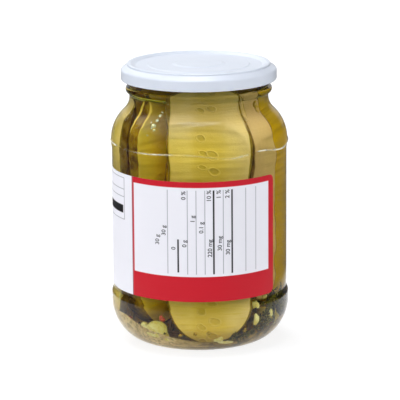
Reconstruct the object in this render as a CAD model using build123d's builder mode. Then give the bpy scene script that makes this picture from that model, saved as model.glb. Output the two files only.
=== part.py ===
from build123d import *
import os
from math import acos, cos, degrees, radians, sin

# A glass preserving jar of about half a litre, with a twist-off steel lid, a paper label and brine.
# Millimetres, +Z up. The origin is the centre of the ring that the jar stands on. Angles are
# counted round from -Y, the side that is looked at, towards +X.

# Jar: overall sizes
jar_height = 130.2              # from the bearing ring to the top of the glass lip
panel_radius = 41.0             # the recessed band that carries the label
side_wall = 2.0                 # glass behind the label
base_wall = 3.5                 # glass under the contents

# Jar: base, heel and the two beads that guard the label
bearing_width = 5.6             # the flat ring that the jar stands on
push_up = 1.8                   # height of the domed underside at its centre
heel_lower_arc = 12.6
heel_upper_arc = 21.0
heel_upper_turn = 47.2          # degrees turned by the upper arc; the lower arc turns the rest
heel_inner_arc = 13.0
heel_bead_top = 22.5
heel_proud = 0.9                # how far the heel bead stands over the panel
shoulder_bead_height = 1.4      # its upright part, up to where the wall turns in
shoulder_proud = 0.4
bead_slope_height = 2.5         # height over which a bead slopes in to the panel

# Jar: shoulder, neck and mouth
shoulder_arc = 19.0
neck_arc = 9.0
neck_radius = 32.5
neck_straight = 1.9             # plain neck between the shoulder and the ring
neck_ring_drop = 10.9           # from the lip down to the middle of the ring
neck_ring_half_height = 1.5
neck_ring_proud = 1.5           # over the plain wall under the lid
mouth_proud = 0.2               # that wall over the neck
lip_fillet = 0.6
thread_height = 1.8
thread_proud = 1.3
thread_turn = 50.0              # degrees covered by each raised thread

# Lid
lid_sheet = 0.3
skirt_length = 6.9              # from the top of the recessed panel to the bottom of the curl
shoulder_drop = 1.7             # fall of the sloped shoulder, from the rim to the skirt
skirt_fillet = 1.4
rim_overhang = 0.7              # raised rim outside the mouth's wall
rim_rise = 1.0                  # raised rim over the recessed panel
rim_width = 1.6
rim_slope = 2.2                 # from the rim in to where its slope meets the panel
rim_fillet = 0.45
step_margin = 6.0               # from there in to a low step pressed round the panel
step_rise = 0.25
button_radius = 12.6            # the button that shows the vacuum
button_rise = 0.4
button_slope = 1.6
press_fillet = 0.5              # the soft bends of the step and the button
curl_radius = 0.9               # the rolled bottom edge
thread_clearance = 0.6          # from a thread to the curl
lug_count = 4
lug_turn = 18.0                 # degrees covered by each lug
lug_height = 1.5
lug_clearance = 0.25            # from a lug to the glass beside it and over it

# Contents and label
headspace = 2.7                 # from the brine up to the lip
label_thickness = 0.12
label_bottom_margin = 1.7       # plain panel under the label
label_top_margin = 8.4          # and over it
label_end_angle = 55.7          # where the label's free end lies
label_gap_angle = 50.0          # bare glass between its two ends
label_corner = 3.0

# Places that follow from the sizes above
heel_radius = panel_radius + heel_proud
heel_start = (heel_upper_arc - heel_lower_arc) * sin(radians(heel_upper_turn)) + heel_lower_arc
heel_inset = heel_upper_arc - (heel_upper_arc - heel_lower_arc) * cos(radians(heel_upper_turn))
bearing_inner_radius = heel_radius - heel_inset - bearing_width
shoulder_radius = panel_radius + shoulder_proud
shoulder_turn = degrees(acos(1 - (shoulder_radius - neck_radius) / (shoulder_arc + neck_arc)))
inner_radius = panel_radius - side_wall
shoulder_wall = shoulder_radius - inner_radius
bore_radius = neck_radius - shoulder_wall
floor_edge = inner_radius - heel_inner_arc
mouth_radius = neck_radius + mouth_proud
neck_ring_middle = jar_height - neck_ring_drop
neck_ring_bottom = neck_ring_middle - neck_ring_half_height
neck_ring_top = neck_ring_middle + neck_ring_half_height
shoulder_height = (shoulder_arc + neck_arc) * sin(radians(shoulder_turn))
shoulder_start = neck_ring_bottom - neck_straight - shoulder_height
shoulder_bead_bottom = shoulder_start - shoulder_bead_height
label_panel_bottom = heel_bead_top + bead_slope_height
label_panel_top = shoulder_bead_bottom - bead_slope_height
lid_panel_top = jar_height + lid_sheet
lid_bottom = lid_panel_top - skirt_length
lid_radius = mouth_radius + thread_proud + thread_clearance + 2 * curl_radius
curl_centre = (lid_radius - curl_radius, lid_bottom + curl_radius)
rim_outer_radius = mouth_radius + rim_overhang
rim_inner_radius = rim_outer_radius - rim_width
rim_foot_radius = rim_inner_radius - rim_slope
step_radius = rim_foot_radius - step_margin
lug_inner_radius = mouth_radius + lug_clearance
lug_angles = [(lug + 0.5) * 360 / lug_count for lug in range(lug_count)]     # from +X towards +Y
thread_bottom = lid_bottom + curl_radius + lug_height / 2 + lug_clearance
brine_level = jar_height - headspace
label_bottom = label_panel_bottom + label_bottom_margin
label_top = label_panel_top - label_top_margin
gap_middle = label_end_angle - 90 + label_gap_angle / 2     # counted from +X towards +Y


def dome_radius(rise, half_width):
    """Radius of the arc that rises by `rise` over `half_width` and is level at its top."""
    return (half_width**2 + rise**2) / (2 * rise)


def section_plane(angle):
    """Upright plane through the jar's axis, turned by `angle` degrees from +X towards +Y."""
    return Plane.XZ.rotated((0, 0, angle))


# Inside of the jar, from the middle of its floor up to its neck: a domed floor, a round heel, the
# straight side, the shoulder and the neck. From the shoulder up it runs level with the outside.
with BuildLine() as inside:
    floor_centre = (0, base_wall + push_up)
    RadiusArc(floor_centre, (floor_edge, base_wall), dome_radius(push_up, floor_edge))
    heel_inner = JernArc((floor_edge, base_wall), (1, 0), heel_inner_arc, 90)
    side_inner = Line(heel_inner @ 1, (inner_radius, shoulder_start))
    shoulder_inner = JernArc(side_inner @ 1, (0, 1), shoulder_arc - shoulder_wall, shoulder_turn)
    neck_inner = JernArc(
        shoulder_inner @ 1, shoulder_inner % 1, neck_arc + shoulder_wall, -shoulder_turn
    )

# Jar: one glass body of revolution, with raised threads round its mouth.
with BuildPart() as jar:
    with BuildSketch(Plane.XZ):
        with BuildLine():
            add(inside.line)
            underside_centre = (0, push_up)
            bearing_edge = (bearing_inner_radius, 0)
            Line(floor_centre, underside_centre)
            RadiusArc(underside_centre, bearing_edge, dome_radius(push_up, bearing_inner_radius))
            heel_upper = JernArc((heel_radius, heel_start), (0, -1), heel_upper_arc, -heel_upper_turn)
            heel_lower = JernArc(
                heel_upper @ 1, heel_upper % 1, heel_lower_arc, heel_upper_turn - 90
            )
            Line(bearing_edge, heel_lower @ 1)
            side = Polyline(
                (heel_radius, heel_start),
                (heel_radius, heel_bead_top),
                (panel_radius, label_panel_bottom),
                (panel_radius, label_panel_top),
                (shoulder_radius, shoulder_bead_bottom),
                (shoulder_radius, shoulder_start),
            )
            shoulder = JernArc(side @ 1, (0, 1), shoulder_arc, shoulder_turn)
            neck = JernArc(shoulder @ 1, shoulder % 1, neck_arc, -shoulder_turn)
            ring_foot = (neck_radius, neck_ring_bottom)
            ring_head = (mouth_radius, neck_ring_top)
            Line(neck @ 1, ring_foot)
            ThreePointArc(ring_foot, (mouth_radius + neck_ring_proud, neck_ring_middle), ring_head)
            Polyline(
                ring_head,
                (mouth_radius, jar_height),
                (bore_radius, jar_height),
                neck_inner @ 1,
            )
        make_face()
    revolve(axis=Axis.Z)
    fillet(jar.edges().group_by(Axis.Z)[-1], lip_fillet)
    for lug_middle in lug_angles:
        with BuildSketch(section_plane(lug_middle - thread_turn / 2)):
            with Locations((mouth_radius, thread_bottom + thread_height / 2)):
                Ellipse(thread_proud, thread_height / 2)
        revolve(axis=Axis.Z, revolution_arc=thread_turn)
jar.part.label = "jar"

# Lid: one steel pressing with the sealing compound under its rim. The bottom edge is rolled into a
# curl, and lugs pressed in from it hold the lid under the threads. It seats on the glass lip.
with BuildPart() as lid:
    with BuildSketch(Plane.XZ):
        with BuildLine():
            step_top = lid_panel_top + step_rise
            button_top = step_top + button_rise
            rim_top = lid_panel_top + rim_rise
            top = FilletPolyline(
                (0, button_top),
                (button_radius - button_slope, button_top),
                (button_radius, step_top),
                (step_radius, step_top),
                (step_radius + press_fillet, lid_panel_top),
                (rim_foot_radius, lid_panel_top),
                (rim_inner_radius, rim_top),
                (rim_outer_radius, rim_top),
                (rim_outer_radius, lid_panel_top),
                (lid_radius, lid_panel_top - shoulder_drop),
                (lid_radius, curl_centre[1]),
                radius=[
                    press_fillet,
                    press_fillet,
                    step_rise,
                    step_rise,
                    press_fillet,
                    rim_fillet,
                    rim_fillet,
                    rim_fillet,
                    skirt_fillet,
                ],
            )
            underside = FilletPolyline(
                (0, button_top - lid_sheet),
                (button_radius - button_slope, button_top - lid_sheet),
                (button_radius, step_top - lid_sheet),
                (step_radius, step_top - lid_sheet),
                (step_radius + press_fillet, jar_height),
                (rim_outer_radius, jar_height),
                (lid_radius - lid_sheet, jar_height - shoulder_drop),
                (lid_radius - lid_sheet, curl_centre[1]),
                radius=[
                    press_fillet,
                    press_fillet,
                    step_rise,
                    step_rise,
                    press_fillet,
                    skirt_fillet - lid_sheet,
                ],
            )
            Line(top @ 0, underside @ 0)
            Line(top @ 1, underside @ 1)
        make_face()
        with Locations(curl_centre):
            Circle(curl_radius)
    revolve(axis=Axis.Z)
    for lug_middle in lug_angles:
        with BuildSketch(section_plane(lug_middle - lug_turn / 2)):
            with Locations((lug_inner_radius, curl_centre[1])):
                Rectangle(
                    curl_centre[0] - lug_inner_radius, lug_height, align=(Align.MIN, Align.CENTER)
                )
        revolve(axis=Axis.Z, revolution_arc=lug_turn)
lid.part.label = "lid"

# Brine: fills the inside of the glass up to its level, a little under the lid.
with BuildPart() as brine:
    with BuildSketch(Plane.XZ):
        with BuildLine():
            add(inside.line)
            Polyline(neck_inner @ 1, (bore_radius, brine_level), (0, brine_level), floor_centre)
        make_face()
    revolve(axis=Axis.Z)
brine.part.label = "brine"

# Label: a paper band wrapped round the panel. The cut for its gap is shaped like the letter I, whose
# rounded inner corners leave rounded corners on the paper.
with BuildPart() as label:
    with BuildSketch(Plane.XY.offset(label_bottom)):
        Circle(panel_radius + label_thickness)
        Circle(panel_radius, mode=Mode.SUBTRACT)
    extrude(amount=label_top - label_bottom)
    with BuildSketch(Plane.YZ.rotated((0, 0, gap_middle))) as gap:
        gap_width = 2 * panel_radius * sin(radians(label_gap_angle / 2))
        with Locations((0, label_bottom)):
            Rectangle(gap_width, label_top - label_bottom, align=(Align.CENTER, Align.MIN))
        with Locations((0, label_bottom - label_corner), (0, label_top)):
            Rectangle(
                gap_width + 4 * label_corner, label_corner, align=(Align.CENTER, Align.MIN)
            )
        inner_corners = gap.vertices().filter_by(lambda corner: abs(corner.X) < gap_width / 2 + 1)
        fillet(inner_corners, label_corner)
    extrude(amount=2 * panel_radius, mode=Mode.SUBTRACT)
label.part.label = "label"

os.makedirs("parts", exist_ok=True)
export_step(jar.part, "parts/jar.step")
export_step(lid.part, "parts/lid.step")
export_step(brine.part, "parts/brine.step")
export_step(label.part, "parts/label.step")
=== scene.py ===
"""Looks of a glass jar of sliced pickles: glass, lid, paper label, brine and what is sunk in it."""
from math import acos, atan2, cos, degrees, pi, radians, sin, sqrt

import bmesh
import bpy
import numpy as np
from mathutils import Matrix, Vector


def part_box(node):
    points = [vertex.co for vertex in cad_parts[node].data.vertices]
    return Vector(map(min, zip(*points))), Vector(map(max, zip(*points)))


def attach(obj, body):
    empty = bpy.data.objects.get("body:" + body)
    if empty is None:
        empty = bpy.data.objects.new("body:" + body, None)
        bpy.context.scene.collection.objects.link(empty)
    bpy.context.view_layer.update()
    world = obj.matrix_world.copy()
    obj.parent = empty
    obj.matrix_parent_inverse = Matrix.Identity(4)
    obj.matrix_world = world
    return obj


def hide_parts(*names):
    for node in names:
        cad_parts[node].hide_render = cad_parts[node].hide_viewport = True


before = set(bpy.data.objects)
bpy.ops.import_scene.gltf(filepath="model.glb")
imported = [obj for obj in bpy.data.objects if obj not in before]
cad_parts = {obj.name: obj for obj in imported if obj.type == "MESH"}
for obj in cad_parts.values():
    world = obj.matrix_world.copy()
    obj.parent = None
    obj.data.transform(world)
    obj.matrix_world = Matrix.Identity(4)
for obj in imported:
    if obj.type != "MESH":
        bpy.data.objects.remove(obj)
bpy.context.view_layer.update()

# Lengths in this file are millimetres until add_mesh() turns them into metres. Angles round the jar
# are degrees from the front, -Y, towards +X.
MM = 0.001

# Glass
PANEL_RADIUS = 41.0
SIDE_WALL = 2.0
HEEL_RADIUS = 41.9
SHOULDER_RADIUS = 41.4
NECK_RADIUS = 32.5
SHOULDER_WALL = SHOULDER_RADIUS - PANEL_RADIUS + SIDE_WALL
BORE_RADIUS = NECK_RADIUS - SHOULDER_WALL
INNER_RADIUS = PANEL_RADIUS - SIDE_WALL
SHOULDER_ARC = 19.0
NECK_ARC = 9.0
JAR_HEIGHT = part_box("jar")[1].z / MM
NECK_RING = JAR_HEIGHT - 10.9    # middle of the ring below the lid
NECK_TOP = NECK_RING - 1.5 - 1.9 # where the shoulder's curve ends and the plain neck starts
SHOULDER_TURN = degrees(acos(1 - (SHOULDER_RADIUS - NECK_RADIUS) / (SHOULDER_ARC + NECK_ARC)))
SHOULDER_START = NECK_TOP - (SHOULDER_ARC + NECK_ARC) * sin(radians(SHOULDER_TURN))
CREASE_LEVEL = SHOULDER_START - 0.9
CREASE_HEIGHT = 0.3              # how proud the crease stands
GLASS_INDEX = 1.5
BRINE_INDEX = 1.34
AROUND = 160                     # facets round the glass and the lid
DOME_POINTS = 20                 # points from the middle of a floor out to its edge
ARC_POINTS = 24                  # points on a plain arc

# Contents and label
BRINE_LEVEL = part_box("brine")[1].z / MM
INTO_WALL = 0.35                 # how far the brine reaches into the glass, so that no air gap shows
LABEL_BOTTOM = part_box("label")[0].z / MM
LABEL_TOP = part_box("label")[1].z / MM
LABEL_END = 55.7                 # the label's free end
LABEL_GAP = 50.0                 # bare glass between its two ends
LABEL_CORNER = 3.0
LABEL_LIFT = 0.01                # paper over glass
LABEL_THICKNESS = 0.11

# Light: strengths of what a ray meets in the room, where 1 is white
OVERHEAD = 4.2                   # from above, once inside the glass
ROOM = 0.38                      # on matt surfaces
DARK_ROOM = 0.05                 # mirrored, from in front
LEFT_PATCH = 1.5                 # mirrored, from high on the left
TOP_PATCH = 6.0                  # mirrored, from straight above


# ---------------------------------------------------------------------------- shader helpers
class Value:
    """A number that varies over a surface. Arithmetic on it adds Math nodes."""

    def __init__(self, finish, socket):
        self.finish = finish
        self.socket = socket

    def __add__(self, other):
        return self.finish.maths("ADD", self, other)

    def __sub__(self, other):
        return self.finish.maths("SUBTRACT", self, other)

    def __mul__(self, other):
        return self.finish.maths("MULTIPLY", self, other)

    def __rsub__(self, other):
        return self.finish.maths("SUBTRACT", other, self)

    def __neg__(self):
        return self * -1.0

    def __abs__(self):
        return self.finish.maths("ABSOLUTE", self)

    __radd__ = __add__
    __rmul__ = __mul__

    def step(self, low, high):
        """0 below `low`, 1 above `high` and smooth between; falls instead when high is the lower."""
        node = self.finish.node(
            "MapRange",
            {"interpolation_type": "SMOOTHSTEP"},
            {"Value": self, "From Min": low, "From Max": high},
        )
        return Value(self.finish, node.outputs[0])

    def band(self, low, high, soft):
        """1 between `low` and `high`, with edges `soft` wide."""
        return self.step(low - soft / 2, low + soft / 2) * self.step(high + soft / 2, high - soft / 2)


class Finish:
    """One procedural material or world, with the kinds of node that those below are made of."""

    def __init__(self, name, store=bpy.data.materials):
        self.material = store.new(name)
        self.material.use_nodes = True
        self.tree = self.material.node_tree
        self.tree.nodes.clear()

    def node(self, kind, settings=None, inputs=None):
        node = self.tree.nodes.new("ShaderNode" + kind)
        for key, value in (settings or {}).items():
            setattr(node, key, value)
        for key, value in (inputs or {}).items():
            if isinstance(value, Value):
                value = value.socket
            if isinstance(value, bpy.types.NodeSocket):
                self.tree.links.new(value, node.inputs[key])
            else:
                node.inputs[key].default_value = value
        return node

    def maths(self, operation, *terms):
        node = self.node("Math", {"operation": operation}, dict(enumerate(terms)))
        return Value(self, node.outputs[0])

    def place(self, source="Object"):
        return self.node("TexCoord").outputs[source]

    def axes(self, vector):
        split = self.node("SeparateXYZ", None, {0: vector})
        return [Value(self, socket) for socket in split.outputs]

    def stretched(self, vector, scale):
        return self.node("Mapping", None, {"Vector": vector, "Scale": scale}).outputs[0]

    def noise(self, vector, scale, detail=3.0, roughness=0.55):
        node = self.node(
            "TexNoise", None, {"Vector": vector, "Scale": scale, "Detail": detail, "Roughness": roughness}
        )
        return Value(self, node.outputs[0])

    def attribute(self, name):
        return Value(self, self.node("Attribute", {"attribute_name": name}).outputs["Fac"])

    def mix(self, factor, first, second):
        node = self.node("Mix", {"data_type": "RGBA"}, {0: factor, 6: first, 7: second})
        return node.outputs[2]

    def bump(self, height, distance, strength=1.0):
        node = self.node("Bump", None, {"Height": height, "Distance": distance, "Strength": strength})
        return node.outputs[0]

    def surface(self, volume=None, **inputs):
        named = {key.replace("_", " "): value for key, value in inputs.items()}
        shader = self.node("BsdfPrincipled", None, named)
        output = self.node("OutputMaterial", None, {"Surface": shader.outputs[0]})
        if volume:
            self.tree.links.new(volume.outputs[0], output.inputs["Volume"])
        return self.material


def paint(red, green, blue):
    """Scene colour of a display colour given from 0 to 255."""
    def linear(level):
        level = level / 255
        return level / 12.92 if level <= 0.04045 else ((level + 0.055) / 1.055) ** 2.4

    return (linear(red), linear(green), linear(blue), 1.0)


def between(first, second, share):
    """The colour that lies `share` of the way from the first to the second."""
    return tuple(np.array(first) * (1 - share) + np.array(second) * share)


# ---------------------------------------------------------------------------- mesh helpers
def add_mesh(name, points, faces, material, smooth=True, merge=1e-4):
    """Puts points in millimetres and faces into a new object, merges doubles and turns faces out."""
    mesh = bpy.data.meshes.new(name)
    mesh.from_pydata((np.asarray(points).reshape(-1, 3) * MM).tolist(), [], faces)
    work = bmesh.new()
    work.from_mesh(mesh)
    if merge:
        bmesh.ops.remove_doubles(work, verts=work.verts, dist=merge * MM)
        bmesh.ops.dissolve_degenerate(work, edges=work.edges, dist=merge * MM)
    bmesh.ops.recalc_face_normals(work, faces=work.faces)
    work.to_mesh(mesh)
    work.free()
    if smooth:
        mesh.shade_smooth()
    else:
        mesh.shade_flat()
    mesh.materials.append(material)
    piece = bpy.data.objects.new(name, mesh)
    bpy.context.scene.collection.objects.link(piece)
    return piece


def grid_faces(rows, columns, wrap_rows=False, wrap_columns=False, first=0):
    """Four-sided faces of a grid of points, as an array of corner numbers."""
    row = np.arange(rows if wrap_rows else rows - 1)
    column = np.arange(columns if wrap_columns else columns - 1)
    row, column = np.meshgrid(row, column, indexing="ij")
    next_row, next_column = (row + 1) % rows, (column + 1) % columns
    corners = [
        row * columns + column,
        row * columns + next_column,
        next_row * columns + next_column,
        next_row * columns + column,
    ]
    return np.stack(corners, -1).reshape(-1, 4) + first


def arc(centre, radius, start, end, count=ARC_POINTS):
    """Points of a circular arc in the (radius, height) plane, its angles in degrees."""
    angle = np.radians(np.linspace(start, end, count))
    return np.stack([centre[0] + radius * np.cos(angle), centre[1] + radius * np.sin(angle)], -1)


def rounded(corners, radii, count=8):
    """A line through the corners, each inner corner replaced by an arc tangent to both its sides."""
    corners = [np.array(corner, float) for corner in corners]
    points = [corners[0]]
    for before, corner, after, radius in zip(corners, corners[1:], corners[2:], radii):
        back = (before - corner) / np.linalg.norm(before - corner)
        ahead = (after - corner) / np.linalg.norm(after - corner)
        half = acos(np.clip(back @ ahead, -1, 1)) / 2
        bisector = (back + ahead) / np.linalg.norm(back + ahead)
        centre = corner + bisector * radius / sin(half)
        start = corner + back * radius / np.tan(half) - centre
        end = corner + ahead * radius / np.tan(half) - centre
        for step in np.linspace(0, 1, count):
            spoke = start * (1 - step) + end * step
            points.append(centre + spoke * radius / np.linalg.norm(spoke))
    points.append(corners[-1])
    return np.array(points)


def densified(profile, coarse, fine, low, high):
    """The same line cut no longer than `coarse`, or than `fine` between the heights `low` and `high`."""
    parts = []
    for start, end in zip(profile, profile[1:]):
        near = low < max(start[1], end[1]) and min(start[1], end[1]) < high
        count = max(1, int(np.ceil(np.linalg.norm(end - start) / (fine if near else coarse))))
        parts.append(start + (end - start) * (np.arange(count) / count)[:, None])
    return np.vstack(parts + [profile[-1:]])


def turned(name, profile, material, waver=None):
    """A profile of (radius, height) points carried round +Z. Its ends lie on the axis."""
    profile = np.asarray(profile)
    angle = np.linspace(0, 2 * pi, AROUND, endpoint=False)
    radius = np.repeat(profile[:, :1], AROUND, 1)
    if waver is not None:
        radius = radius + waver(profile, angle)
    points = np.stack(
        [radius * np.cos(angle), radius * np.sin(angle), np.repeat(profile[:, 1:], AROUND, 1)], -1
    )
    faces = grid_faces(len(profile), AROUND, wrap_columns=True)
    return add_mesh(name, points, faces.tolist(), material)


def face_places(piece):
    """Centres, in millimetres, and normals of a piece's faces."""
    faces = piece.data.polygons
    centre, normal = np.empty(3 * len(faces)), np.empty(3 * len(faces))
    faces.foreach_get("center", centre)
    faces.foreach_get("normal", normal)
    return centre.reshape(-1, 3) / MM, normal.reshape(-1, 3)


def finish_faces(piece, material, chosen):
    """Gives the chosen faces a second finish."""
    piece.data.materials.append(material)
    piece.data.polygons.foreach_set("material_index", chosen.astype(np.int32))


def ripple(across, along, seed, count=5):
    """Smooth unevenness of about -1 to 1: a sum of sines of random direction, pace and start."""
    draw = np.random.default_rng(seed)
    total = 0
    for _ in range(count):
        turn = draw.uniform(0, 2 * pi)
        pace = draw.uniform(0.6, 1.6)
        start = draw.uniform(0, 2 * pi)
        total = total + np.sin(pace * (across * cos(turn) + along * sin(turn)) + start)
    return total / sqrt(count)


# ---------------------------------------------------------------------------- finishes
def clear_finish(name, ior, mirrored, body, density, bump_distance=0.0):
    """A clear body that bends light by `ior`, mirrors a share of what it should, and takes out colour."""
    finish = Finish(name)
    waver = finish.noise(finish.place(), 55.0, detail=1.0)
    volume = finish.node("VolumeAbsorption", None, {"Color": body, "Density": density})
    return finish.surface(
        volume=volume,
        Base_Color=finish.mix(waver, (0.985, 0.995, 0.98, 1.0), (0.995, 1.0, 0.99, 1.0)),
        Roughness=0.0,
        IOR=ior,
        Transmission_Weight=1.0,
        Specular_Tint=(mirrored, mirrored, mirrored, 1.0),
        Normal=finish.bump(waver, bump_distance, 0.25),
    )


def glass_finishes():
    """Faintly green pressed glass, in air and where it is wet. Wet, it bends light only by its own
    index over the brine's."""
    body, density = (0.6, 0.72, 0.55, 1.0), 4.0
    return (
        clear_finish("clear_glass", GLASS_INDEX, 0.5, body, density, 0.0006),
        clear_finish("clear_glass_wet", GLASS_INDEX / BRINE_INDEX, 1.0, body, density, 0.0006),
    )


def scuff_finish():
    """Painted highlight: a frosted white that comes and goes on the crease, standing in for the glint of
    light on its ridge, strongest towards the sides.
    """
    finish = Finish("crease_glint_glass")
    place = finish.place()
    side, _, _ = finish.axes(place)
    broken = finish.noise(place, 90.0, detail=2.0)
    # painted highlight: the white shows most towards the sides, where the glint of light falls
    edge = abs(side).step(0.01, 0.023) * 0.7 + 0.08
    return finish.surface(
        Base_Color=finish.mix(broken, paint(238, 232, 200), paint(250, 248, 236)),
        Roughness=0.45 + broken * 0.2,
        Specular_IOR_Level=0.3,
        Alpha=broken.step(0.4, 0.62) * edge,
    )


def brine_finishes():
    """Yellow-green vinegar that takes out blue: its side, where the glass does the bending, and its
    level under the lid."""
    body, density = (0.955, 0.91, 0.06, 1.0), 62.0
    return (
        clear_finish("brine", 1.0, 1.0, body, density),
        clear_finish("brine_level", BRINE_INDEX, 1.0, body, density, 0.0002),
    )


def lid_finish():
    """White gloss lacquer on tinplate, cool in tone, with a faint orange-peel."""
    finish = Finish("white_lacquer")
    place = finish.place()
    mottle = finish.noise(place, 120.0)
    colour = finish.mix(mottle, paint(214, 221, 234), paint(220, 227, 239))
    return finish.surface(
        Base_Color=colour,
        Roughness=0.3 + finish.noise(place, 400.0) * 0.08,
        Coat_Weight=0.4,
        Coat_Roughness=0.12,
        Normal=finish.bump(finish.noise(place, 150.0, detail=1.0), 0.0002, 0.12),
    )


WHITE_PAPER = paint(236, 236, 244)
RED_INK = paint(200, 22, 40)
BLACK_INK = paint(26, 26, 30)
GREY_INK = paint(150, 152, 160)
GREEN_INK = paint(104, 128, 44)


def label_finish():
    """The label's print as fields, rules and bars placed by angle round the jar and by height."""
    finish = Finish("printed_paper")
    place = finish.place()
    x, y, z = finish.axes(place)
    turn = finish.maths("ARCTAN2", x, -y) * degrees(1)
    # the back runs on past 180 degrees on the left, so that the label is one field from -254 to 56
    turn = turn - turn.step(120.0, 120.1) * 360.0
    height = z * (1 / MM)

    def field(left, right, low, high, soft=0.35):
        return turn.band(left, right, soft * 1.4) * height.band(low, high, soft)

    whole = (LABEL_BOTTOM - 5, LABEL_TOP + 5)
    rules = (39.8, 79.2)
    # the table on the front: a white panel on a red field, with rules and bars
    layers = [
        (field(-48.6, 90.0, *whole), RED_INK),
        (field(-49.4, -48.6, *whole), paint(150, 40, 52)),
        (field(-47.4, 50.4, 38.6, 80.4), WHITE_PAPER),
    ]
    for rule in (-21.0, -7.9, -2.3, 3.3, 15.2, 30.9, 38.8):
        layers.append((field(rule - 0.22, rule + 0.22, *rules), GREY_INK))
    for bar in (8.95, 21.1):
        layers.append((field(bar - 0.55, bar + 0.55, *rules), BLACK_INK))
    layers.append((field(-14.6, -13.5, 40.6, 56.2), BLACK_INK))
    # a ruled box with a solid block, on the white part to the left
    for level in (81.2, 75.8, 72.2, 61.5):
        layers.append((field(-86.0, -58.0, level - 0.15, level + 0.15), GREY_INK))
    layers.append((field(-58.3, -57.7, 61.5, 81.2), GREY_INK))
    layers.append((field(-90.0, -59.4, 64.4, 68.2), BLACK_INK))
    # the side that faces away: a red field, and a white panel between two green bars
    layers.append((field(-260.0, -108.0, *whole), RED_INK))
    layers.append((field(-110.0, -108.0, *whole), paint(250, 214, 120)))
    layers.append((field(-232.0, -128.0, 38.6, 71.2), WHITE_PAPER))
    layers.append((field(-232.0, -128.0, 38.6, 42.0), GREEN_INK))
    layers.append((field(-232.0, -128.0, 67.8, 71.2), GREEN_INK))
    colour = WHITE_PAPER
    for mask, ink in layers:
        colour = finish.mix(mask, colour, ink)
    # bare paper inside, against the glass
    reach = finish.maths("SQRT", x * x + y * y)
    inner = reach.step((PANEL_RADIUS + 0.08) * MM, (PANEL_RADIUS + 0.06) * MM)
    colour = finish.mix(inner, colour, paint(228, 226, 222))
    fibre = finish.noise(place, 1500.0, detail=2.0)
    return finish.surface(
        Base_Color=colour,
        Roughness=0.4 + fibre * 0.1,
        Specular_IOR_Level=0.25,
        Normal=finish.bump(fibre, 0.00004, 0.3),
    )


def ink_finish():
    """Black print, a little worn."""
    finish = Finish("black_ink")
    wear = finish.noise(finish.place(), 2500.0)
    return finish.surface(Base_Color=finish.mix(wear, paint(40, 40, 46), paint(84, 84, 92)), Roughness=0.4)


def pickle_finish(name, flesh, deep, skin, seedy=1.0):
    """Cut cucumber: pale flesh, a darker seed column with ringed seeds, saw marks and a dark warty skin.

    The UV map counts centimetres: across the slice from its middle, and up its length. Brine is nearly
    as dense to light as wet flesh, so that little is mirrored where they meet.
    """
    finish = Finish(name)
    place = finish.place()
    chart = finish.place("UV")
    across, up, _ = finish.axes(chart)
    rind = finish.attribute("skin")
    blotch = finish.noise(place, 75.0, detail=4.0)
    fine = finish.noise(place, 700.0, detail=4.0)
    drift = (finish.noise(finish.stretched(chart, (0.6, 1.3, 1.0)), 1.7, detail=1.0) - 0.5) * 0.5
    # seeds lie in two files, one above the other, each a little out of line and some left out
    column = abs(across + drift * 0.6).step(0.95, 0.4)
    seeds = 0.0
    rings = 0.0
    for file, pitch, start, size in ((-0.3, 0.63, 0.2, 0.13), (0.14, 0.71, 0.0, 0.17)):
        turn = (up + drift * 0.5 + start) * (1 / pitch)
        # a number from 0 to 1 that is a seed's own
        chance = finish.maths("SINE", finish.maths("FLOOR", turn) * 12.99 + file * 30)
        chance = finish.maths("FRACT", chance * 437.5)
        level = (finish.maths("FRACT", turn) - 0.4 - chance * 0.2) * (pitch / size)
        side = (across + (chance - 0.5) * 0.22 - file) * (0.75 / size) + level * 0.25
        kept = chance.step(0.16, 0.2)
        spread = level * level + side * side
        seeds = spread.step(1.0, 0.4) * kept + seeds
        rings = spread.band(0.9, 1.5, 0.4) * kept + rings
    shown = column * seedy
    seed_colour = between(deep, skin, 0.45)
    colour = finish.mix(blotch.step(0.3, 0.7) * 0.4, flesh, deep)
    colour = finish.mix(column * 0.4 * seedy, colour, deep)
    colour = finish.mix(shown * rings * 0.55, colour, flesh)
    colour = finish.mix(shown * seeds * 0.35, colour, seed_colour)
    # painted shade: the slices darken towards their tops, as in the shadow under the lid
    colour = finish.mix(up.step(9.2, 12.2) * 0.5, colour, seed_colour)
    marks = finish.noise(finish.stretched(chart, (0.35, 6.0, 1.0)), 1.7, detail=3.0)
    sawn = up.step(3.6, 1.2) * 0.35 + up.step(10.2, 11.4) * 0.4 + 0.14
    colour = finish.mix(marks.step(0.5, 0.7) * sawn, colour, deep)
    colour = finish.mix(rind.step(0.0, 0.5) * 0.5, colour, deep)
    warts = finish.noise(place, 260.0).step(0.35, 0.65)
    peel = finish.mix(warts, skin, between(skin, deep, 0.3))
    colour = finish.mix(rind.step(0.4, 0.8), colour, peel)
    relief = marks * (sawn * 1.2 + 0.1) + fine * 0.25 - shown * seeds * 0.4 + shown * rings * 0.5
    return finish.surface(
        Base_Color=colour,
        Roughness=0.32 + fine * 0.2,
        Specular_IOR_Level=0.06,
        Normal=finish.bump(relief, 0.0007, 0.6),
    )


def speckled_finish(name, light, dark, scale, roughness=0.45, distance=0.0004):
    """A natural surface mottled between two colours, with relief to match."""
    finish = Finish(name)
    place = finish.place()
    mottle = finish.noise(place, scale, detail=5.0)
    return finish.surface(
        Base_Color=finish.mix(mottle.step(0.32, 0.68), dark, light),
        Roughness=roughness + finish.noise(place, scale * 4) * 0.15,
        Specular_IOR_Level=0.12,
        Normal=finish.bump(mottle, distance, 0.5),
    )


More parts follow.
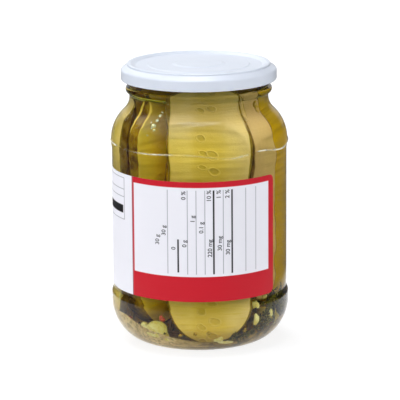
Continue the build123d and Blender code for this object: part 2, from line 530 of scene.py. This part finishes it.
def sediment_finish():
    """Pale cloud on the left, running into dark chopped herb on the right."""
    finish = Finish("settled_spice")
    place = finish.place()
    side, _, _ = finish.axes(place)
    mottle = finish.noise(place, 230.0, detail=5.0)
    flecks = finish.noise(place, 520.0, detail=2.0).step(0.52, 0.6)
    cloud = finish.mix(mottle.step(0.35, 0.65), paint(206, 170, 112), paint(244, 214, 160))
    herb = finish.mix(mottle.step(0.35, 0.65), paint(84, 62, 18), paint(176, 140, 62))
    share = (side + (mottle - 0.5) * 0.012).step(-0.016, 0.008)
    colour = finish.mix(share, finish.mix(flecks * 0.5, cloud, paint(132, 98, 44)), herb)
    return finish.surface(
        Base_Color=colour,
        Roughness=0.5 + mottle * 0.2,
        Specular_IOR_Level=0.1,
        Normal=finish.bump(mottle, 0.0006, 0.7),
    )


# ---------------------------------------------------------------------------- glass, brine, lid, label
def shoulder_and_neck(radius, shoulder_arc, neck_arc, turn):
    """The S-shaped run from the side up to the neck: an arc turning in, then one turning back."""
    first = arc((radius - shoulder_arc, SHOULDER_START), shoulder_arc, 0, turn)
    reach = shoulder_arc + neck_arc
    centre = (
        radius - shoulder_arc + reach * cos(radians(turn)),
        SHOULDER_START + reach * sin(radians(turn)),
    )
    return np.vstack([first, arc(centre, neck_arc, 180 + turn, 180)])


def inside_profile(grow=0.0):
    """Inside of the glass from the middle of the floor up to the neck, moved into the wall by `grow`."""
    floor, push_up, heel = 3.5 - grow, 1.8, 13.0 + grow
    edge = INNER_RADIUS + grow - heel
    rise = (edge**2 + push_up**2) / (2 * push_up)
    radius = np.linspace(0, edge, DOME_POINTS)
    dome = np.stack([radius, floor + push_up - rise + np.sqrt(rise**2 - radius**2)], -1)
    return np.vstack([
        dome,
        arc((edge, floor + heel), heel, -90, 0),
        shoulder_and_neck(
            INNER_RADIUS + grow,
            SHOULDER_ARC - SHOULDER_WALL + grow,
            NECK_ARC + SHOULDER_WALL - grow,
            SHOULDER_TURN,
        ),
    ])


def outside_profile():
    """Outside of the glass, from the middle of its underside up to the lip."""
    push_up, bearing = 1.8, 21.0
    upper, lower, turn = 21.0, 12.6, 47.2
    start = (upper - lower) * sin(radians(turn)) + lower
    centre = HEEL_RADIUS - upper
    heel_centre = (centre + (upper - lower) * cos(radians(turn)), lower)
    rise = (bearing**2 + push_up**2) / (2 * push_up)
    radius = np.linspace(0, bearing, DOME_POINTS)
    dome = np.stack([radius, push_up - rise + np.sqrt(rise**2 - radius**2)], -1)
    side = rounded(
        [
            (HEEL_RADIUS, start),
            (HEEL_RADIUS, 22.5),
            (PANEL_RADIUS, 25.0),
            (PANEL_RADIUS, SHOULDER_START - 3.9),
            (SHOULDER_RADIUS, SHOULDER_START - 1.4),
            (SHOULDER_RADIUS, SHOULDER_START),
        ],
        [2.5, 2.5, 6.0, 4.0],
    )
    neck_bead = arc((32.6, NECK_RING), 1.6, -90, 90, 16)
    mouth = rounded([(32.7, NECK_RING + 2.1), (32.7, JAR_HEIGHT), (BORE_RADIUS, JAR_HEIGHT)], [0.6])
    return np.vstack([
        dome,
        arc(heel_centre, lower, -90, -turn, 16),
        arc((centre, start), upper, -turn, 0, 20),
        side,
        shoulder_and_neck(SHOULDER_RADIUS, SHOULDER_ARC, NECK_ARC, SHOULDER_TURN),
        neck_bead,
        mouth,
    ])


def crease_line(angle):
    """The crease where the shoulder starts: its wandering height, and how strong it is, round the jar."""
    around = 3 * np.cos(angle) + 3 * np.sin(angle)
    strength = 1 + 0.4 * ripple(4 * around, 0 * around, 18)
    return CREASE_LEVEL + 0.8 * ripple(2.2 * around, 0 * around, 8), np.clip(strength, 0, 1.4)


def make_jar(outer, inner_finish):
    """One closed glass skin: the outside, over the lip, and back down the inside."""
    outside = densified(outside_profile(), 4.0, 0.12, CREASE_LEVEL - 2.2, CREASE_LEVEL + 2.2)
    inside = densified(inside_profile(), 4.0, 0.5, CREASE_LEVEL - 6, CREASE_LEVEL + 6)
    inner_start = len(outside)
    profile = np.vstack([outside, inside[::-1]])

    def waver(points, angle):
        """The inner wall is uneven by a tenth of a millimetre. Both walls have a soft, wandering
        crease where the shoulder starts, left by the seam of the mould."""
        height = points[:, 1][:, None]
        around = 3 * np.cos(angle)[None, :] + 3 * np.sin(angle)[None, :]
        inner = np.zeros((len(points), 1))
        inner[inner_start:, 0] = np.clip((points[inner_start:, 0] - 25) / 10, 0, 1)
        level, strength = crease_line(angle[None, :])
        crease = height - level
        inner_ridge = 0.2 * strength * np.exp(-(crease / 0.8) ** 2)
        outer_ridge = CREASE_HEIGHT * strength * np.exp(-(crease / 0.26) ** 2)
        outer = (1 - np.sign(inner)) * (np.abs(height - CREASE_LEVEL) < 3)
        return inner * (0.1 * ripple(around, height / 11, 5) - inner_ridge) + outer * outer_ridge

    jar = turned("glass_jar", profile, outer, waver)
    centre, normal = face_places(jar)
    inwards = (centre[:, :2] * normal[:, :2]).sum(1) < -0.05 * np.hypot(centre[:, 0], centre[:, 1])
    floor = (normal[:, 2] > 0.5) & (centre[:, 2] < 12) & (centre[:, 2] > 3)
    finish_faces(jar, inner_finish, (inwards & (centre[:, 2] > 3) | floor) & (centre[:, 2] < BRINE_LEVEL))
    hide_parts("jar")
    return jar


def make_scuff(material):
    """A painted highlight along the crease, standing in for the glint of light on its ridge: a flat oval
    section, 0.8 mm tall where the crease is strong, carried round on the ridge's crown."""
    angle = np.linspace(0, 2 * pi, 2 * AROUND, endpoint=False)
    level, strength = crease_line(angle)
    side = outside_profile()
    side = side[(side[:, 1] > CREASE_LEVEL - 8) & (side[:, 1] < CREASE_LEVEL + 8)]
    crown = np.interp(level, side[:, 1], side[:, 0]) + CREASE_HEIGHT * strength
    section = np.linspace(0, 2 * pi, 12, endpoint=False)[:, None]
    radius = crown - 0.06 + 0.1 * np.cos(section)
    height = level + (0.16 + 0.18 * strength) * np.sin(section)
    points = np.stack([radius * np.cos(angle), radius * np.sin(angle), height], -1)
    faces = grid_faces(12, 2 * AROUND, wrap_rows=True, wrap_columns=True)
    return add_mesh("crease_glint_line", points, faces.tolist(), material)


def make_brine(side_finish, level_finish):
    """The contents' liquid, from the floor to its level, reaching a little into the glass."""
    radius = BORE_RADIUS + INTO_WALL
    profile = np.vstack([inside_profile(INTO_WALL), [(radius, BRINE_LEVEL), (0, BRINE_LEVEL)]])
    profile = densified(profile, 4.0, 1.0, SHOULDER_START - 5, SHOULDER_START + 8)
    brine = turned("brine_body", profile, side_finish)
    centre, _ = face_places(brine)
    finish_faces(brine, level_finish, centre[:, 2] > BRINE_LEVEL - 0.01)
    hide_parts("brine")
    return brine


def make_lid(material):
    """The pressing's top and underside as two rounded lines, joined round the rolled curl."""
    panel_top = JAR_HEIGHT + 0.3
    bottom = panel_top - 6.9
    top = rounded(
        [
            (0, panel_top + 0.65),
            (11.0, panel_top + 0.65),
            (12.6, panel_top + 0.25),
            (23.6, panel_top + 0.25),
            (24.1, panel_top),
            (29.6, panel_top),
            (31.8, panel_top + 1.0),
            (33.4, panel_top + 1.0),
            (33.4, panel_top),
            (36.4, panel_top - 1.7),
            (36.4, bottom + 0.9),
        ],
        [0.8, 0.8, 0.25, 0.25, 0.9, 0.45, 0.45, 0.45, 1.4],
    )
    curl = arc((35.5, bottom + 0.9), 0.9, 0, -300, 24)
    underside = rounded(
        [
            (36.1, bottom + 1.7),
            (36.1, panel_top - 2.0),
            (33.4, JAR_HEIGHT),
            (24.1, JAR_HEIGHT),
            (23.6, panel_top - 0.05),
            (12.6, panel_top - 0.05),
            (11.0, panel_top + 0.35),
            (0, panel_top + 0.35),
        ],
        [1.1, 0.3, 0.25, 0.25, 0.8, 0.8],
    )
    lid = turned("steel_lid", np.vstack([top, curl, underside]), material)
    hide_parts("lid")
    return lid


def make_label(material):
    """A thin band round the panel. Near each end its height shrinks along a rounded corner."""
    end = LABEL_END
    start = LABEL_END - (360 - LABEL_GAP)
    reach = degrees(LABEL_CORNER / PANEL_RADIUS)
    corner = 1 - np.cos(np.linspace(0, pi / 2, 10))
    turns = np.concatenate([
        start + reach * corner,
        np.linspace(start + reach, end - reach, 250)[1:-1],
        end - reach * corner[::-1],
    ])
    inset = np.minimum(turns - start, end - turns) * radians(1) * PANEL_RADIUS
    missing = np.clip(LABEL_CORNER - inset, 0, LABEL_CORNER)
    shrink = LABEL_CORNER - np.sqrt(LABEL_CORNER**2 - missing**2)
    rows = 12
    share = np.linspace(0, 1, rows)[:, None]
    low, high = LABEL_BOTTOM + shrink, LABEL_TOP - shrink
    height = low + (high - low) * share
    inner = PANEL_RADIUS + LABEL_LIFT
    outer = inner + LABEL_THICKNESS
    angle = np.radians(turns)

    def sheet(radius):
        flat = np.ones_like(height)
        return np.stack([radius * np.sin(angle) * flat, -radius * np.cos(angle) * flat, height], -1)

    points = np.stack([sheet(inner), sheet(outer)])
    columns = len(turns)
    faces = [
        grid_faces(rows, columns),
        grid_faces(rows, columns, first=rows * columns),
    ]
    number = np.arange(2 * rows * columns).reshape(2, rows, columns)
    for edge in (number[:, 0], number[:, -1], number[:, :, 0], number[:, :, -1]):
        faces.append(np.stack([edge[0, :-1], edge[0, 1:], edge[1, 1:], edge[1, :-1]], -1))
    label = add_mesh("paper_label", points, np.vstack(faces).tolist(), material, smooth=False, merge=1e-5)
    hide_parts("label")
    return label


def print_figures(material):
    """Plain figures printed on the label, lying on the paper and read from the bottom upwards."""
    figures = [
        ("30 g", -28.4, 53.0), ("30 g", -23.8, 57.6), ("0", -17.2, 51.2), ("0 g", -10.0, 52.6),
        ("1 g", -4.6, 64.2), ("0.1 g", 0.9, 59.2), ("220 mg", 6.4, 47.9), ("30 mg", 12.8, 50.7),
        ("30 mg", 18.2, 48.6), ("0 %", -10.4, 74.8), ("10 %", 5.9, 73.9), ("1 %", 12.2, 75.2),
        ("2 %", 17.9, 75.2),
    ]
    points, faces, first = [], [], 0
    for text, middle, low in figures:
        curve = bpy.data.curves.new("figure", "FONT")
        curve.body = text
        curve.size = 2.8
        curve.offset = 0.05
        shape = bpy.data.objects.new("figure", curve)
        bpy.context.scene.collection.objects.link(shape)
        flat = bpy.data.meshes.new_from_object(shape.evaluated_get(bpy.context.evaluated_depsgraph_get()))
        corners = np.empty(len(flat.vertices) * 3)
        flat.vertices.foreach_get("co", corners)
        corners = corners.reshape(-1, 3)
        radius = PANEL_RADIUS + LABEL_LIFT + LABEL_THICKNESS + 0.02
        angle = np.radians(middle) - (corners[:, 1] - 0.95) / radius
        points.append(np.stack(
            [radius * np.sin(angle), -radius * np.cos(angle), low + corners[:, 0]], -1
        ))
        faces += [[first + corner for corner in face.vertices] for face in flat.polygons]
        first += len(corners)
        bpy.data.objects.remove(shape)
        bpy.data.curves.remove(curve)
    return add_mesh("label_figures", np.vstack(points), faces, material, smooth=False, merge=1e-5)


# ---------------------------------------------------------------------------- what is sunk in the brine
def held_inside(points, margin=0.7):
    """Pulls points in from the glass and up from the floor by `margin`, so that they stay in the brine."""
    wall = inside_profile()
    floor, side = wall[:DOME_POINTS], wall[DOME_POINTS:]
    radius = np.hypot(points[..., 0], points[..., 1])
    lowest = np.interp(radius, floor[:, 0], floor[:, 1]) + margin
    height = np.clip(points[..., 2], lowest, BRINE_LEVEL - margin)
    limit = np.interp(height, side[:, 1], side[:, 0]) - margin
    shrink = np.minimum(1, limit / np.maximum(radius, 1e-6))
    return np.stack([points[..., 0] * shrink, points[..., 1] * shrink, height], -1)


def pickle_slice(name, middle, heading, material, width=36, foot=6, top=112, thick=7, ragged=0.6, seed=0):
    """A lengthwise slice standing up: an oblong of cut flesh with a rim of skin.

    Points run round the section, a squared ellipse of width and thickness, and up the length. The
    width follows an ellipse at each end, half round at the foot and blunt at the top. The outline is
    uneven and the faces are gently sawn. The whole is then pressed in by the glass.
    """
    rows, columns = 190, 76
    half, length = width / 2, top - foot
    up = length * (1 - np.cos(np.linspace(0, pi, rows + 2)[1:-1]))[:, None] / 2
    end = np.where(up < length / 2, half * 1.05, 6.0)
    into_end = np.clip(end - np.minimum(up, length - up), 0, end)
    share = np.sqrt(1 - (into_end / end) ** 2)
    angle = np.linspace(0, 2 * pi, columns, endpoint=False)[None, :]
    side = np.sign(np.cos(angle)) * np.abs(np.cos(angle)) ** 0.42
    face = np.sign(np.sin(angle)) * np.abs(np.sin(angle)) ** 0.30
    outline = ragged * (ripple(up / 9, 2 * side, seed) + 0.5 * ripple(up / 2.8, 2 * side, seed + 2))
    across = share * half * side + outline * side * share
    thinner = 0.3 + 0.7 * np.clip(np.minimum(up, length - up) / 6, 0, 1)
    through = face * thick / 2 * thinner
    through = through + 0.35 * ripple(across / 5, up / 8, seed + 1) * share
    through = through + 0.13 * ripple(across / 9, up / 0.55, seed + 3) * share
    skin = np.clip((1.15 - (half - np.hypot(across - outline * side, into_end * half / end))) / 0.8, 0, 1)
    turn = radians(heading)
    points = np.stack(
        [
            middle[0] + across * cos(turn) - through * sin(turn),
            middle[1] + across * sin(turn) + through * cos(turn),
            foot + up + 0 * across,
        ],
        -1,
    )
    ends = np.array([[middle[0], middle[1], foot], [middle[0], middle[1], top]], float)
    points = held_inside(np.vstack([points.reshape(-1, 3), ends]))
    last = rows * columns
    ring = np.arange(columns)
    around = np.roll(ring, -1)
    top_row = last - columns
    faces = grid_faces(rows, columns, wrap_columns=True).tolist()
    faces += np.stack([around, ring, np.full(columns, last)], -1).tolist()
    faces += np.stack([top_row + ring, top_row + around, np.full(columns, last + 1)], -1).tolist()
    piece = add_mesh(name, points, faces, material, merge=0)
    mesh = piece.data
    mesh.attributes.new("skin", "FLOAT", "POINT").data.foreach_set("value", np.append(skin, [1, 1]))
    chart = np.stack([across, up + 0 * across], -1).reshape(-1, 2)
    chart = np.vstack([chart, [[0, 0], [0, length]]]) / 10
    corners = np.empty(len(mesh.loops), np.int32)
    mesh.loops.foreach_get("vertex_index", corners)
    mesh.uv_layers.new(name="UVMap").data.foreach_set("uv", chart[corners].ravel())
    return piece


def lumps(name, spots, material, seed, rough=0.25, facets=10):
    """Irregular rounded lumps: spheres of (x, y, z, long, wide, thick, turn) with uneven radius."""
    points, faces, first = [], [], 0
    draw = np.random.default_rng(seed)
    polar = np.linspace(0, pi, facets)[:, None]
    around = np.linspace(0, 2 * pi, 2 * facets, endpoint=False)[None, :]
    for x, y, z, long, wide, thick, turn in spots:
        across, along = 3 * np.cos(around) * np.sin(polar), 3 * np.cos(polar)
        swell = 1 + rough * ripple(across, along, draw.integers(10**6))
        ball = np.stack([
            swell * np.sin(polar) * np.cos(around) * long / 2,
            swell * np.sin(polar) * np.sin(around) * wide / 2,
            swell * np.cos(polar) * np.ones_like(around) * thick / 2,
        ], -1)
        spin = Matrix.Rotation(radians(turn), 3, "Y") @ Matrix.Rotation(draw.uniform(-0.6, 0.6), 3, "X")
        points.append(held_inside(ball @ np.array(spin).T + [x, y, z]).reshape(-1, 3))
        faces.append(grid_faces(facets, 2 * facets, wrap_columns=True, first=first))
        first += facets * 2 * facets
    return add_mesh(name, np.vstack(points), np.vstack(faces).tolist(), material)


def strands(name, runs, material, thickness=0.45):
    """Thin stalks: a five-sided tube of tapering radius carried along each run of points."""
    points, faces, first = [], [], 0
    angle = np.linspace(0, 2 * pi, 5, endpoint=False)
    for run in runs:
        run = np.asarray(run, float)
        ahead = np.gradient(run, axis=0)
        ahead /= np.linalg.norm(ahead, axis=1)[:, None]
        side = np.cross(ahead, [0.3, 0.2, 1.0])
        side /= np.linalg.norm(side, axis=1)[:, None]
        other = np.cross(ahead, side)
        radius = thickness / 2 * (1 - 0.75 * np.linspace(0, 1, len(run)) ** 2)
        ring = np.cos(angle)[None, :, None] * side[:, None] + np.sin(angle)[None, :, None] * other[:, None]
        tube = run[:, None] + radius[:, None, None] * ring
        points.append(tube.reshape(-1, 3))
        faces.extend(grid_faces(len(run), 5, wrap_columns=True, first=first).tolist())
        faces.append([first + corner for corner in range(4, -1, -1)])
        faces.append([first + (len(run) - 1) * 5 + corner for corner in range(5)])
        first += len(run) * 5
    return add_mesh(name, np.vstack(points), faces, material)


def dill_runs(root, heading, length, seed):
    """A dill frond: a curved stalk with side stalks, each feathered with short needles."""
    draw = np.random.default_rng(seed)
    runs = []
    along = np.linspace(0, 1, 9)[:, None]
    heading = np.array(heading, float) / np.linalg.norm(heading)
    sag = draw.uniform(-0.3, 0.3, 3)
    stalk = np.array(root) + heading * along * length + sag * along**2 * length * 0.5
    runs.append(stalk)
    for share in np.linspace(0.15, 0.95, 9):
        base = np.array(root) + heading * share * length + sag * share**2 * length * 0.5
        for hand in (-1, 1):
            spread = np.cross(heading, draw.normal(size=3))
            spread = hand * spread / np.linalg.norm(spread) * 0.8 + heading * 0.6
            branch = base + spread * along * length * 0.28 * (1.1 - share)
            runs.append(branch)
            for tip in (0.35, 0.6, 0.85):
                start = base + spread * tip * length * 0.28 * (1.1 - share)
                needle = start + (heading + draw.normal(size=3) * 0.6) * along[::4] * length * 0.07
                runs.append(needle)
    return runs


def make_sediment(material):
    """Fine spice and cloud settled on the floor and up the heel, deeper on the left and at the back.

    Its outside lies just off the glass. Its inside is that line moved in by an uneven thickness.
    """
    rows, columns = 26, 144
    angle = np.linspace(0, 2 * pi, columns, endpoint=False)[None, :]
    high = 6.6 + np.minimum(9.0, 26 * np.sin((angle - radians(12)) / 2) ** 2)
    share = np.linspace(0, 1, rows)[:, None]
    wall = inside_profile(-0.6)[:DOME_POINTS + ARC_POINTS]
    height = wall[:, 1]
    run = np.concatenate([[0], np.cumsum(np.linalg.norm(np.diff(wall, axis=0), axis=1))])
    reach = np.interp(high, height[DOME_POINTS:], run[DOME_POINTS:])
    along = 4 + (reach - 4) * share
    radius = np.interp(along, run, wall[:, 0])
    level = np.interp(along, run, height)
    deep = (0.25 + 1.3 * np.sin(pi * share) ** 0.5) * (1 + 0.35 * ripple(8 * angle, along / 3, 12))
    lean = np.clip((radius - 24) / 14, 0, 1)
    skins = []
    for depth in (0 * deep, deep):
        inner, raised = radius - depth * lean, level + depth * (1 - 0.6 * lean)
        skins.append(np.stack([inner * np.sin(angle), -inner * np.cos(angle), raised], -1))
    loop = np.vstack([skins[0], skins[1][::-1]])
    faces = grid_faces(2 * rows, columns, wrap_rows=True, wrap_columns=True)
    return add_mesh("sediment", loop, faces.tolist(), material)


def make_contents():
    """What is sunk in the brine: each slice on its own, and one piece for each kind of small thing."""
    pale = pickle_finish("pale_pickle", paint(240, 210, 146), paint(220, 184, 76), paint(120, 88, 8))
    olive = pickle_finish("olive_pickle", paint(255, 226, 104), paint(250, 202, 44), paint(108, 68, 2), 0.4)
    tan = pickle_finish("tan_pickle", paint(220, 184, 124), paint(176, 134, 70), paint(112, 80, 40), 0.0)
    gold = pickle_finish("gold_pickle", paint(204, 162, 8), paint(178, 138, 4), paint(116, 84, 2), 0.0)
    pieces = [
        pickle_slice("slice_front", (4.2, -28.0), 0, pale, 37, 5.4, 124, 7, seed=11),
        pickle_slice("slice_second", (3.0, -20.2), 2, olive, 34, 7, 122, 6.5, seed=23),
        pickle_slice("slice_third", (6.8, -12.6), -3, olive, 26, 7, 120, 6.5, seed=31),
        pickle_slice("slice_left", (-15.4, -12.6), 39, olive, 36.5, 12, 119, 7.6, seed=43),
        pickle_slice("slice_right", (27.0, -22.8), 58, tan, 17, 23, 121, 5.0, 1.3, seed=57),
        pickle_slice("slice_right_side", (27.0, -1.0), 80, gold, 33, 21, 121, 6.5, seed=59),
        pickle_slice("slice_left_side", (-31.2, 3.4), 90, pale, 31, 9, 118, 6.0, seed=61),
        pickle_slice("slice_back_left", (-14.4, 8.8), 39, olive, 33, 9, 120, 7.0, seed=73),
        pickle_slice("slice_back", (-3.0, 28.0), 0, pale, 35, 8, 121, 7.0, seed=83),
        pickle_slice("slice_back_second", (8.0, 19.0), 8, olive, 33, 8, 122, 7.0, seed=89),
        pickle_slice("slice_core", (8.0, 6.0), 20, olive, 27, 8, 121, 8.0, seed=97),
    ]
    pieces.append(make_sediment(sediment_finish()))
    garlic = speckled_finish("garlic", paint(252, 240, 176), paint(232, 208, 110), 420.0)
    pieces.append(lumps("garlic_bits", [
        (-19.4, -28.2, 11.4, 13.0, 5.4, 7.6, 15),
        (-24.5, -26.0, 12.0, 4.6, 3.0, 3.2, 60),
        (-14.4, -30.5, 7.8, 5.5, 2.6, 2.4, 10),
        (24.6, -27.6, 15.2, 3.0, 2.4, 5.4, 12),
        (24.4, -27.4, 21.8, 3.4, 2.4, 3.8, -20),
        (30.6, -20.4, 16.0, 3.0, 2.2, 4.0, 40),
        (33.4, -14.0, 22.5, 2.6, 2.0, 3.0, 20),
        (28.6, -23.6, 24.6, 2.6, 1.8, 2.4, 0),
        (8.4, -33.2, 7.6, 4.4, 2.4, 2.6, 0),
        (-35.2, -13.0, 22.0, 2.6, 2.0, 3.4, 0),
        (10.0, -31.0, 6.4, 8.0, 3.0, 2.0, 5),
        (20.0, 20.0, 8.0, 8.0, 5.0, 5.0, 30),
        (-22.0, 18.0, 7.5, 6.0, 5.0, 4.0, 30),
        (2.0, 34.0, 8.5, 6.0, 4.0, 4.0, 10),
    ], garlic, 3))
    # bubbles on the left slice, partly real and partly painted highlight: their opaque near-white colour
    # paints in the glint of light on them
    bubble = speckled_finish("froth", paint(255, 252, 226), paint(246, 238, 190), 1500.0, 0.12)
    pieces.append(lumps("froth_painted_glints", [
        (-18.0, -26.6, 110.6, 1.5, 1.1, 1.4, 0),
        (-18.7, -26.6, 108.2, 1.7, 1.2, 1.6, 20),
        (-20.0, -26.4, 105.6, 2.3, 1.6, 2.1, 30),
        (-19.6, -26.4, 103.7, 1.4, 1.0, 1.3, 0),
        (-21.4, -26.0, 107.2, 0.8, 0.7, 0.8, 0),
        (-20.9, -26.0, 104.4, 0.9, 0.7, 0.9, 0),
        (-17.2, -26.8, 112.3, 1.1, 0.8, 0.8, 0),
        (-22.4, -25.2, 101.2, 0.8, 0.7, 0.7, 0),
    ], bubble, 9, rough=0.12, facets=8))
    seeds = 60
    draw = np.random.default_rng(8)
    ring = draw.uniform(0, 2 * pi, seeds)
    reach = draw.uniform(16, 35, seeds)
    level = 6.6 + np.clip(reach - 27, 0, None) * 0.6
    mustard = speckled_finish("mustard_seed", paint(214, 176, 84), paint(150, 112, 34), 900.0)
    spots = np.stack([reach * np.sin(ring), -reach * np.cos(ring), level], -1)
    spots = np.hstack([spots, np.tile([2.0, 1.9, 1.8, 0.0], (seeds, 1))])
    pieces.append(lumps("mustard_seeds", spots, mustard, 4, rough=0.05, facets=7))
    red = speckled_finish("red_pepper", paint(206, 92, 52), paint(170, 52, 28), 600.0)
    pieces.append(lumps("pepper_flakes", [
        (-17.0, -32.4, 17.0, 3.0, 0.9, 2.2, 30),
        (-30.5, -18.0, 14.0, 2.0, 0.8, 1.6, 0),
        (15.0, 30.0, 9.0, 3.4, 0.9, 2.6, 60),
        (30.0, -12.0, 10.5, 2.6, 0.8, 2.0, 0),
    ], red, 6))
    fronds = []
    sprigs = [
        ((29.0, -23.0, 26.0), (0.3, 0.35, -0.3), 13, 1),
        ((22.0, -29.0, 9.5), (0.6, 0.4, 0.5), 20, 2),
        ((10.0, -33.0, 7.2), (0.9, 0.2, 0.05), 20, 3),
        ((28.0, -24.0, 10.0), (0.2, 0.3, 0.9), 13, 4),
        ((-31.0, -16.0, 10.0), (0.6, -0.7, 0.0), 20, 5),
        ((10.0, 30.0, 9.0), (0.9, -0.5, 0.5), 28, 7),
        ((28.0, 14.0, 9.0), (0.1, -0.9, 0.5), 26, 8),
        ((-20.0, 26.0, 9.0), (-0.5, -0.8, 0.4), 24, 9),
        ((31.0, -17.0, 27.0), (0.2, 0.8, -0.7), 18, 10),
        ((32.0, -16.0, 9.0), (-0.1, 0.3, 0.95), 17, 11),
        ((27.0, -25.0, 21.0), (0.7, 0.6, 0.2), 17, 12),
        ((34.0, -6.0, 12.0), (0.0, -0.4, 0.9), 16, 13),
    ]
    for root, heading, length, seed in sprigs:
        fronds += [held_inside(np.asarray(run), 1.2) for run in dill_runs(root, heading, length, seed)]
    dill = speckled_finish("dill", paint(104, 96, 14), paint(54, 46, 4), 400.0)
    pieces.append(strands("dill_fronds", fronds, dill, 0.7))
    return pieces


# ---------------------------------------------------------------------------- stage
def make_floor():
    """A pale floor that shows white, with a soft shadow left in it. What mirrors it sees only the
    stretch near the jar as white."""
    finish = Finish("pale_floor")
    rays = finish.node("LightPath")
    x, y, _ = finish.axes(finish.place())
    near = (x * x + y * y).step(0.022, 0.009)
    seen = Value(finish, rays.outputs["Is Camera Ray"]) + Value(finish, rays.outputs["Is Transmission Ray"])
    seen = seen + Value(finish, rays.outputs["Is Glossy Ray"]) * near
    seen = finish.maths("MINIMUM", seen, 1.0)
    plain = finish.node("BsdfDiffuse", None, {"Color": (0.8, 0.8, 0.8, 1.0)})
    veil = finish.node("BsdfDiffuse", None, {"Color": (0.22, 0.22, 0.225, 1.0)})
    glow = finish.node("Emission", None, {"Color": (1.0, 1.0, 1.0, 1.0), "Strength": 0.84})
    lit = finish.node("AddShader", None, {0: veil.outputs[0], 1: glow.outputs[0]})
    dark = finish.node("BsdfDiffuse", None, {"Color": (0.12, 0.12, 0.12, 1.0)})
    far = finish.node(
        "MixShader", None, {0: rays.outputs["Is Glossy Ray"], 1: plain.outputs[0], 2: dark.outputs[0]}
    )
    mixed = finish.node("MixShader", None, {0: seen, 1: far.outputs[0], 2: lit.outputs[0]})
    finish.node("OutputMaterial", None, {"Surface": mixed.outputs[0]})
    size, drop = 3000.0, -0.05
    corners = [(-size, -size, drop), (size, -size, drop), (size, size, drop), (-size, size, drop)]
    floor = add_mesh("floor", corners, [[0, 1, 2, 3]], finish.material)


def make_world():
    """A white backdrop to the eye and through glass. What mirrors it sees white straight behind and
    bright patches overhead and high on the left, in a dark room. More light enters the glass from above."""
    room = Finish("studio", bpy.data.worlds)
    bpy.context.scene.world = room.material
    rays = room.node("LightPath")
    right, behind, above = room.axes(room.place("Generated"))
    glossy = Value(room, rays.outputs["Is Glossy Ray"])
    through = Value(room, rays.outputs["Is Transmission Ray"])
    mirrored = glossy * behind.step(0.8, 0.95) * 0.5
    seen = Value(room, rays.outputs["Is Camera Ray"]) + through + mirrored
    seen = room.maths("MINIMUM", seen, 1.0)

    def background(level):
        return room.node("Background", None, {"Color": (0.97, 0.98, 1.0, 1.0), "Strength": level}).outputs[0]

    def blend(factor, first, second):
        return room.node("MixShader", None, {0: factor, 1: first, 2: second}).outputs[0]

    light = blend(glossy, background(ROOM), background(DARK_ROOM))
    shown = blend(seen, light, background(1.0))
    patch = glossy * above.step(0.5, 0.62) * right.step(0.1, -0.25)
    shown = blend(patch, shown, background(LEFT_PATCH))
    shown = blend(glossy * above.step(0.93, 0.97), shown, background(TOP_PATCH))
    overhead = blend(through * above.step(0.25, 0.6), shown, background(OVERHEAD))
    room.node("OutputWorld", None, {"Surface": overhead})


def make_lamp(name, place, aim, size, power):
    """A square soft box of `size` metres at `place`, turned to face `aim`."""
    lamp = bpy.data.lights.new(name, "AREA")
    lamp.size = size
    lamp.energy = power
    box = bpy.data.objects.new(name, lamp)
    box.visible_glossy = False
    bpy.context.scene.collection.objects.link(box)
    box.location = place
    offset = np.array(aim) - np.array(place)
    box.rotation_euler = (
        acos(-offset[2] / np.linalg.norm(offset)), 0, atan2(offset[1], offset[0]) - pi / 2
    )


def make_camera():
    """A long lens a little above the lid, pitched down at the middle of the jar."""
    pitch, roll = radians(13.006), radians(-0.395)
    right = np.array([1.0, 0.0, 0.0])
    up = np.array([0.0, sin(pitch), cos(pitch)])
    back = np.array([0.0, -cos(pitch), sin(pitch)])
    axes = np.stack([cos(roll) * right + sin(roll) * up, -sin(roll) * right + cos(roll) * up, back], 1)
    lens = bpy.data.cameras.new("camera")
    lens.lens = 217.3
    lens.sensor_width = 36.0
    lens.clip_start = 0.05
    camera = bpy.data.objects.new("camera", lens)
    bpy.context.scene.collection.objects.link(camera)
    camera.matrix_world = Matrix.Translation((0.0002, -1.1113, 0.3221)) @ Matrix(axes.tolist()).to_4x4()
    bpy.context.scene.camera = camera


make_camera()
make_world()
make_floor()
make_lamp("key", (-1.25, -0.75, 0.5), (0, 0, 0.07), 0.8, 8.0)
make_lamp("fill", (1.1, -0.8, 0.4), (0, 0, 0.07), 0.8, 6.0)
make_lamp("top", (-0.15, -0.1, 1.4), (0, 0, 0.1), 0.6, 9.8)
make_lamp("back", (-0.5, 1.2, 0.7), (0, 0, 0.1), 0.7, 15.0)

parts = [
    (make_jar(*glass_finishes()), "jar"),
    # the crease's painted highlight, a whitish band standing in for the glint on its ridge
    (make_scuff(scuff_finish()), "jar"),
    (make_brine(*brine_finishes()), "brine"),
    (make_lid(lid_finish()), "lid"),
    (make_label(label_finish()), "label"),
    (print_figures(ink_finish()), "label"),
]
parts += [(piece, "brine") for piece in make_contents()]
for piece, slot in parts:
    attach(piece, "root")

scene = bpy.context.scene
scene.view_settings.view_transform = "Standard"
# light reaches the pickles only through the glass, and is thrown about inside it
scene.cycles.max_bounces = 40
scene.cycles.transmission_bounces = 40
scene.cycles.glossy_bounces = 12
scene.cycles.diffuse_bounces = 12
bpy.context.view_layer.update()
